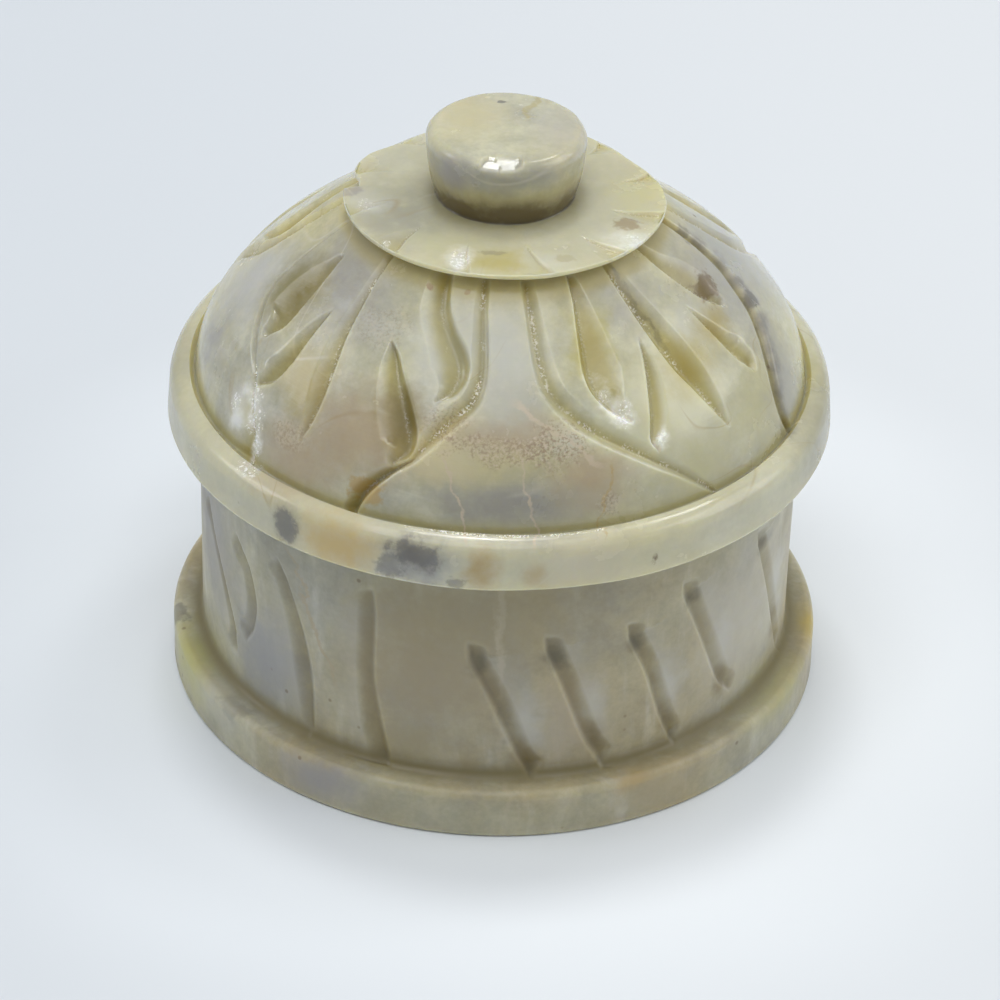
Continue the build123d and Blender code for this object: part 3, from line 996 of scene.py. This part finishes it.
crystal_and_glitter_beds = (
    *placed(
        on_dome,
        (-55.2, 6.2, (1.0, 1.2, 1.6), 0.9, 1.2),
        (-52.8, 4.2, (1.5, 1.4, 1.9), 0.9, 1.6),
        (-50.6, 1.6, (1.0, 1.1, 1.8), 0.9, 1.2),
        (-59.5, 4.6, (0.7, 0.9, 1.3), 0.8, 1.2),
    ),
    (spot(-49, dome_radius + 1.2, rim_top_level), (1.6, 1.4, 1.2), 0.8, 1.6),
    *placed(
        on_dome,
        (24.0, 13.1, (0.8, 1.2, 1.5), 0.9, 0.6),
        (27.0, 10.6, (0.9, 1.3, 1.4), 0.9, 0.6),
        (33.2, 7.4, (0.7, 0.8, 0.8), 0.9, 0.6),
    ),
    *placed(
        on_collar,
        (-17.5, 13.4, (1.0, 1.5, 1.0), 0.8, 1.0),
        (-77, 13.7, (0.8, 1.5, 1.0), 0.4, 0.8),
        (-48, 14.9, (0.5, 0.6, 0.6), 0.9, 0.4),
        (57, 14.7, (0.9, 1.0, 0.8), 0.7, 0.6),
    ),
)

# Places along the smoky border at the right
smoky_border = (
    (87.8, 19.2), (85.7, 16.6), (83, 14.6), (79.9, 12.4), (76.6, 10.2), (73.4, 8.4), (71, 6.6), (68.8, 4.6),
    (67.4, 2.4), (67.2, 0.8),
)

# The lid's stone: soft shades (some partly painted sheen, highlight and shade), frayed stains, thin seams and beds
# of crumbs, each with its place and reach
lid_shades = (
    # dome: smoky left and right, an icy front panel that is partly a painted sheen, and pink round the left
    # palmette's foot
    *placed(
        on_dome,
        (-58, 20, (9, 9, 6), violet_grey, 0.55),
        (-85, 13, (6, 7, 5), (0.56, 0.56, 0.54), 0.7),
        (-80, 5.4, (3.4, 4, 1.9), (0.30, 0.285, 0.29), 0.6),
        (78, 17, (8, 9, 7), violet_grey, 0.6),
        (42, 21, (4, 5, 4), violet_grey, 0.5),
        # a pale bluish front panel, partly a painted sheen
        (2, 18, (5, 6, 6), ice_and_sheen, 0.8),
        (-14, 18, (5, 6, 6), ice_and_sheen, 0.7),
        (38, 9, (9, 8, 6), (0.60, 0.58, 0.40), 0.85),
        (40, 3, (8, 7, 3.5), (0.50, 0.47, 0.28), 0.8),
        (62, 5, (8, 8, 4), (0.52, 0.49, 0.29), 0.8),
        (54, 15.5, (3, 4, 3.5), (0.60, 0.60, 0.53), 0.7),
        # white on the chip at the left palmette's foot, partly a painted highlight
        (-56, 4.6, (2.6, 3, 3.4), (0.72, 0.72, 0.67), 0.8),
        (4, 3.2, (11, 5, 3.6), (0.32, 0.305, 0.27), 0.9),
        (-4, 7.4, (5, 4, 2.4), (0.50, 0.45, 0.27), 0.7),
        (3, 12.6, (5, 4, 2.6), (0.41, 0.40, 0.335), 0.75),
        (19, 3.8, (4.5, 4, 2.6), (0.44, 0.38, 0.27), 0.75),
        (-28, 8, (8, 7, 5), pink_beige, 0.8),
        (-40, 3, (7, 6, 4), pink_beige, 0.75),
        (-12, 7.5, (4.5, 4, 3), cream, 0.9),
        (18, 6, (5, 4, 2), pink_beige, 0.7),
        (2, 9.5, (7, 4, 2), (0.42, 0.33, 0.23), 0.7),
        # olive and brown down in the leaf hollows, partly painted shade in them
        (-68.5, 16.2, (4.0, 4.6, 4.6), (0.25, 0.22, 0.095), 0.95),
        (-21.3, 10.6, (2.8, 3.4, 4.6), (0.26, 0.22, 0.10), 0.9),
        (-45, 10, (3, 4, 5), (0.42, 0.35, 0.15), 0.8),
        (25, 18, (2.6, 4, 4), (0.45, 0.40, 0.13), 0.9),
        (48, 13, (3.5, 5, 3.5), (0.44, 0.38, 0.15), 0.8),
        (62, 14.4, (2.6, 3.4, 2.6), (0.42, 0.35, 0.15), 0.8),
        (90, 3, (3, 5, 5), (0.55, 0.5, 0.2), 0.8),
        (96, 15, (6, 9, 7), (0.45, 0.45, 0.42), 0.85),
        (75, 9, (3, 4, 4.5), (0.37, 0.36, 0.32), 0.8),
        (71, 4.5, (4.5, 5.5, 4), (0.37, 0.36, 0.31), 0.9),
    ),
    *placed(on_dome, *((*place, (1.1, 1.5, 1.4), (0.20, 0.19, 0.18), 0.7) for place in smoky_border)),
    # collar and knob
    *placed(
        on_collar,
        (0, 0, (19, 19, 1.2), (0.47, 0.45, 0.32), 0.6),
        (-62, 11.5, (7, 7, 1.4), (0.385, 0.375, 0.29), 0.85),
        (-2, 13, (3.4, 2.4, 1.4), (0.50, 0.44, 0.18), 0.85),
        (-30, 12, (4, 3, 1.4), (0.54, 0.52, 0.33), 0.7),
        (17, 13.8, (3, 2.4, 1.4), (0.62, 0.61, 0.50), 0.7),
        (-78, 13.6, (2.6, 3, 1.4), (0.60, 0.60, 0.53), 0.7),
        (92, 13, (4, 4, 1.4), (0.59, 0.56, 0.32), 0.8),
        (55, 14, (4, 2.4, 1.4), (0.66, 0.64, 0.50), 0.8),
    ),
    *placed(
        on_knob_top,
        (-120, 4.5, (5, 6, 2), (0.58, 0.53, 0.33), 0.8),
        (75, 5.5, (4, 6, 2), (0.50, 0.47, 0.39), 0.6),
    ),
    (spot(5, 7.6, knob_top_level - 1.6), (9, 3, 1.9), (0.36, 0.355, 0.30), 0.9),
    *placed(on_knob, (-45, 4.4, (5, 4, 2.2), (0.34, 0.325, 0.32), 0.85)),
    # rim band: pale ice and ochre
    *placed(
        on_rim,
        (-14, 1.2, (4.4, 2, 1.8), (0.58, 0.59, 0.54), 0.9),
        (-27, 2.5, (5, 4, 3), (0.58, 0.44, 0.19), 0.9),
        (-2, 2.2, (1.8, 2, 2.2), ochre, 0.85),
        (7, 2, (1.4, 2, 1.6), ochre, 0.7),
        (15, 2.5, (6, 4, 3), (0.60, 0.56, 0.42), 0.7),
        (-88, 3, (5, 12, 5), (0.41, 0.39, 0.28), 0.85),
        (78, 3, (7, 14, 5), (0.37, 0.355, 0.25), 0.9),
        (-13, 2.2, (4.4, 2, 3.4), (0.42, 0.42, 0.40), 0.85),
        (-14, 3.0, (3.6, 2.6, 2.8), (0.15, 0.13, 0.10), 0.8),
        (-37, 2.3, (2.0, 2, 2.6), (0.15, 0.135, 0.115), 0.6),
    ),
)

lid_stains = (
    *placed(
        on_dome,
        (70.9, 17, (2.0, 2.4, 1.1), brown, 0.7, 2.5),
        (-24.5, 2.5, (2.0, 1.8, 1.7), ochre, 0.85, 1.5),
        (81, 12.5, (0.9, 1.2, 1.9), smoke, 0.65, 1.6),
        (88.4, 21.2, (1.0, 1.4, 1.0), smoke, 0.5, 1.6),
        (-100, 24.5, (1.6, 1.6, 0.8), smoke, 0.6, 1.5),
    ),
    *placed(on_collar, (65, 12.8, (1.5, 1.3, 1), (0.34, 0.26, 0.15), 0.7, 1.5)),
    *placed(on_knob_top, (-175, 4.9, (0.45, 0.35, 0.5), smoke, 0.7, 1)),
    *placed(
        on_collar,
        (-5, 11.7, (1.6, 0.5, 0.8), (0.34, 0.31, 0.2), 0.6, 1.2),
        (26, 13.6, (1.0, 0.8, 0.8), (0.45, 0.41, 0.26), 0.6, 1.2),
        (-88, 15, (1.2, 1.4, 1.4), (0.34, 0.32, 0.31), 0.6, 1.2),
    ),
    *placed(
        on_rim,
        (-37, 2.3, (1.35, 1.5, 1.9), smoke, 0.6, 1.2),
        (-13.4, 3.2, (2.9, 2, 1.8), smoke, 0.55, 1.4),
        (-17, 1.7, (1.6, 1.6, 1.9), smoke, 0.5, 1.4),
    ),
    *placed(
        on_dome,
        (-25.6, 23.6, (0.45, 0.45, 0.4), (0.25, 0.06, 0.02), 0.8, 0.6),
        (-12.2, 23.6, (0.35, 0.35, 0.4), (0.25, 0.06, 0.02), 0.7, 0.6),
    ),
    *placed(
        on_rim,
        (-6, 0.9, (1.0, 0.9, 0.7), smoke, 0.5, 2),
        (27, 1.8, (0.4, 0.5, 0.9), brown, 0.85, 1.2),
    ),
)

lid_seams = (
    *placed(
        on_dome,
        (-7.5, 3.4, (1, 0.25, 0.2), 0.2, 5, crumb_pale, 0.8),
        (6, 3.4, (1, -0.1, 0.25), 0.2, 5, crumb_pale, 0.7),
        (20, 3, (1, 0.6, -0.4), 0.14, 4, ochre, 0.7),
        (12, 9.5, (0.6, 0.3, 0.9), 0.35, 6, crumb_pale, 0.6),
        (44, 20, (0.8, 0.4, 0.4), 0.35, 6, smoke, 0.45),
    ),
    *placed(on_knob_top, (151, 5.5, (1, -0.35, 0), 0.5, 4.2, (0.44, 0.38, 0.19), 0.6)),
)

crumb_beds = placed(
    on_dome,
    (2, 8.4, (7.5, 3, 1.3), 0.6, 3),
    (12, 8.6, (3.6, 3, 2.2), 0.6, 3),
    (-11, 10.5, (2.4, 3, 1.6), 0.5, 2),
    (-33, 18, (3.4, 3, 2.0), 0.3, 3),
    (-43, 5, (2.6, 3, 1.6), 0.45, 2),
    (21, 2.6, (1.2, 1.2, 1.4), 0.6, 1.5),
)


def lid_stone():
    material, tree, shader, place = new_material("stone_lid_with_painted_light", soft_stone)
    tone = use_group(
        tree, clouds, place=place, grain=(1.0, 1.0, 3.0),
        pale=(0.56, 0.555, 0.43, 1), warm=(0.54, 0.50, 0.30, 1), smoky=(0.44, 0.43, 0.36, 1),
    ).outputs[0]
    tone = laid(tree, mark(tree, "trim"), 0.55, tone, (0.60, 0.58, 0.43))
    tone = shaded(tree, place, tone, lid_shades)
    tone = stained(tree, place, tone, lid_stains)
    # Painted shade in the gutter at the dome's foot: an olive darkening.
    tone = laid(tree, mark(tree, "cove_shade"), 0.6, tone, (0.43, 0.38, 0.16))
    # Painted shade and glow under the collar's edge, in warm ochre.
    tone = laid(tree, mark(tree, "collar_shade_glow"), 0.6, tone, (0.55, 0.46, 0.19))
    # Painted shade at the knob's neck: olive, then dark brown on the knob's lower side, broken up a little.
    patchy = ramp(tree, noise(tree, place, 260, 4, 0.6), 0.3, 0.7, -0.2, 0.2)
    neck_shade = maths(tree, "ADD", mark(tree, "neck_shade"), times(tree, mark(tree, "neck_shade"), patchy))
    tone = blend(tree, ramp(tree, neck_shade, 0.0, 0.6, 0.0, 0.6), tone, (0.36, 0.31, 0.13))
    tone = blend(tree, ramp(tree, neck_shade, 0.4, 1.0, 0.0, 0.95), tone, (0.14, 0.105, 0.045))
    tone = seamed(tree, place, tone, lid_seams)
    tone = crumbled(tree, place, tone, crumb_beds, crumb_brown, crumb_pale)
    # The olive tone is painted shade in the cuts; the white places and crystal beds are partly painted highlights
    # and glitter.
    finish_stone_and_paint_light(tree, shader, place, tone, (0.83, 0.75, 0.43), 0.4, 0.0, crushed_places_and_glints, crystal_and_glitter_beds)
    return material


def flute_shades():
    """A dark spot at the top of each flute, a brown one at its foot, and a paler place to the right of it, painted
    light on its lit side.
    """
    shades = []
    for channel, _ in right_flutes:
        (top, high, _), (foot, low, _) = channel["edge"][[1, -2]]
        shades += [
            # painted light: the paler place to the right of the flute
            (on_wall((top + foot) / 2 + 6, (high + low) / 2 - 2), (1.8, 2.4, 4.5), (0.53, 0.52, 0.47), 0.7),
            (on_wall(top + 2.4, high - 0.2), (1.7, 1.7, 1.5), (0.19, 0.17, 0.11), 0.9),
            (on_wall(foot + 2, low - 0.4), (1.7, 1.7, 2.4), (0.25, 0.20, 0.10), 0.8),
        ]
    return shades


# The body's stone, in the same way
body_shades = (
    # wall: taupe front, smoky left, paler right
    *placed(
        on_wall,
        (-12, 12, (10, 7, 11), (0.35, 0.295, 0.19), 0.9),
        (-48, 6, (8, 7, 7), (0.3, 0.3, 0.31), 0.85),
        (-70, 14, (7, 8, 9), violet_grey, 0.7),
        (55, 10, (9, 9, 10), (0.52, 0.49, 0.40), 0.8),
        (14, 6, (4, 4, 6), (0.43, 0.37, 0.27), 0.7),
        (-4, 19, (14, 8, 7), (0.335, 0.285, 0.165), 0.8),
        (-14, 2.6, (6, 5, 3), (0.36, 0.31, 0.19), 0.7),
        (70, 8, (4, 5, 6), (0.55, 0.54, 0.44), 0.7),
    ),
    *flute_shades(),
    # foot ring: yellow-green left, violet-grey, an orange patch, and brown towards the right
    *placed(
        on_foot,
        (-70, 4, (5, 7, 4), (0.46, 0.44, 0.18), 0.9),
        (62, 5, (6, 8, 2.4), (0.44, 0.41, 0.20), 0.7),
        (-30, 3, (6, 5, 3), violet_grey, 0.85),
        (-57, 4.5, (4, 5, 2.6), (0.52, 0.51, 0.42), 0.6),
        (25, 5, (2.6, 3, 1.6), ochre, 0.7),
        (30, 3, (6, 5, 4), (0.40, 0.33, 0.20), 0.6),
        (85, 5, (2.5, 4, 3), (0.52, 0.42, 0.14), 0.85),
    ),
)

body_stains = placed(
    on_foot,
    (-52, 5, (2.4, 2.4, 1.2), (0.22, 0.21, 0.18), 0.4, 3),
    (-82, 5, (1.4, 2.4, 1.6), (0.17, 0.165, 0.15), 0.6, 3),
)

body_seams = placed(
    on_wall,
    (1.5, 8, (1, 0.1, 0.05), 0.4, 14, (0.5, 0.44, 0.32), 0.3),
    (1.5, 20, (1, 0.1, -0.05), 0.5, 10, (0.5, 0.44, 0.32), 0.35),
    (-35, 14, (1, 0.3, 0.3), 0.2, 9, (0.42, 0.34, 0.22), 0.6),
)


def body_stone():
    material, tree, shader, place = new_material("stone_body_with_painted_light", soft_stone)
    tone = use_group(
        tree, clouds, place=place, grain=(2.2, 2.2, 0.5),
        pale=(0.44, 0.42, 0.30, 1), warm=(0.41, 0.355, 0.22, 1), smoky=(0.34, 0.33, 0.28, 1),
    ).outputs[0]
    tone = shaded(tree, place, tone, body_shades)
    tone = stained(tree, place, tone, body_stains)
    tone = seamed(tree, place, tone, body_seams)
    # Painted light: the scallop slope beside each channel is made paler, as its lit side, but not where the channel
    # is deep.
    scallop = ramp(tree, mark(tree, "scallop"), 0.0, 0.4, 0.0, 0.45)
    beside_channel = ramp(tree, mark(tree, "cut"), 0.4, 0.1)
    tone = laid(tree, scallop, beside_channel, tone, (0.53, 0.51, 0.44))
    # Painted shade in the cove between the wall and the foot ring.
    tone = laid(tree, mark(tree, "cove_shade"), 0.95, tone, (0.20, 0.16, 0.055))
    # The darker tone is painted shade in the flutes.
    finish_stone_and_paint_light(tree, shader, place, tone, (0.66, 0.60, 0.42), 0, 0.24)
    return material


# Stage and light

def make_stage():
    """A pale paper floor with painted light: darker and bluer towards the left, as if lit from the right, and a
    little darker away from the box, a painted brightening near it against its shadow.
    """
    mesh = bpy.data.meshes.new("floor")
    half = 3.0
    mesh.from_pydata([(-half, -half, 0), (half, -half, 0), (half, half, 0), (-half, half, 0)], [], [(0, 1, 2, 3)])
    material, tree, shader, place = new_material("floor_paper", {"Roughness": 0.75, "Specular IOR Level": 0.2})
    sideways = put(tree, "ShaderNodeSeparateXYZ", {0: place}).outputs[0]
    # Painted light: the paper is darker and bluer to the left, as if the light came from the right.
    side_light_drift = maths(tree, "ADD", sideways, times(tree, noise(tree, place, 9, 2, 0.5), 0.05))
    lit_paper = blend(tree, ramp(tree, side_light_drift, -0.06, 0.09), (0.74, 0.78, 0.825), (0.825, 0.855, 0.885))
    away = vectors(tree, "LENGTH", place)
    # Painted light: a little brighter near the box, to lift the box's own shadow.
    light_near_box = ramp(tree, away, 0.043, 0.072, 1.0, 0.87)
    lit_paper = scaled(tree, lit_paper, light_near_box)
    tree.links.new(lit_paper, shader.inputs["Base Color"])
    mesh.materials.append(material)
    floor = add_object("floor", mesh)


def add_softbox(name, place, width, power):
    """A square softbox that faces the box."""
    lamp = bpy.data.lights.new(name, "AREA")
    lamp.size = width
    lamp.energy = power
    softbox = add_object(name, lamp)
    softbox.location = place
    aim = Vector((0, 0, 0.03)) - Vector(place)
    softbox.rotation_euler = aim.to_track_quat("-Z", "Y").to_euler()


def light_scene():
    add_softbox("softbox_above", (-0.1, -0.3, 1.05), 0.8, 3.65)
    add_softbox("lamp_behind", (-0.05, 0.25, 0.97), 0.2, 2.2)
    add_softbox("lamp_behind_right", (0.34, 0.36, 0.91), 0.2, 0.8)
    add_softbox("softbox_left", (-0.85, 0.1, 0.6), 0.4, 1.2)
    add_softbox("softbox_right", (0.85, 0.0, 0.6), 0.6, 2.1)
    world = bpy.data.worlds.new("studio")
    world.use_nodes = True
    background = world.node_tree.nodes["Background"]
    background.inputs["Color"].default_value = (0.93, 0.97, 1.0, 1.0)
    background.inputs["Strength"].default_value = 0.44
    bpy.context.scene.world = world


set_camera()
lid = make_lid()
lid.data.materials.append(lid_stone())
body = make_box_body()
body.data.materials.append(body_stone())
make_stage()
light_scene()
bpy.context.scene.view_settings.view_transform = "Standard"
